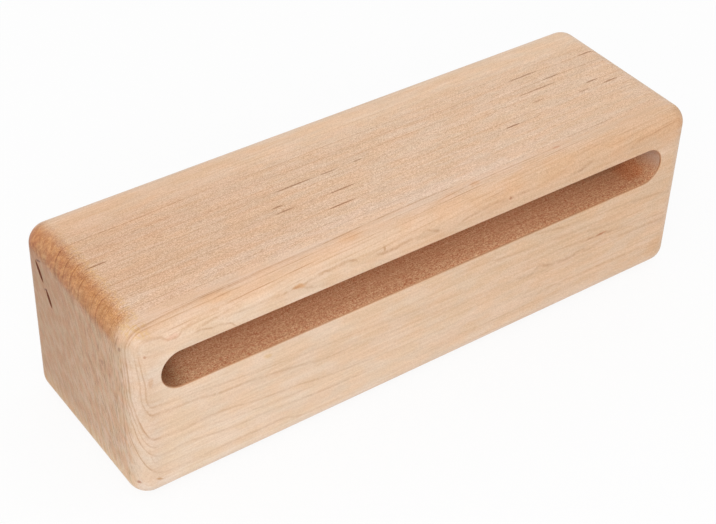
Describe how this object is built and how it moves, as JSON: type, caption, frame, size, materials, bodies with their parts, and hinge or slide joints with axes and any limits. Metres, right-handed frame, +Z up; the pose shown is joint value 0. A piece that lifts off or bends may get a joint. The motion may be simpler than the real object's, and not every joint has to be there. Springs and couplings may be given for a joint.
{
  "type": "wood block",
  "caption": "Solid rectangular maple wood block with rounded edges and a long milled resonance slot in its front, struck with a beater.",
  "frame": {"origin": "centre of the base, on the surface that the block rests on", "axes": "+X along the block's length, to the right as seen from its slotted front; the slotted front faces -Y; +Z up"},
  "size_m": [0.206, 0.0636, 0.0625],
  "materials": {
    "maple": "hard maple under a thin satin clear coat, with bare milled walls inside the slot"
  },
  "bodies": {
    "root": {"maple_block": "maple"}
  },
  "joints": []
}
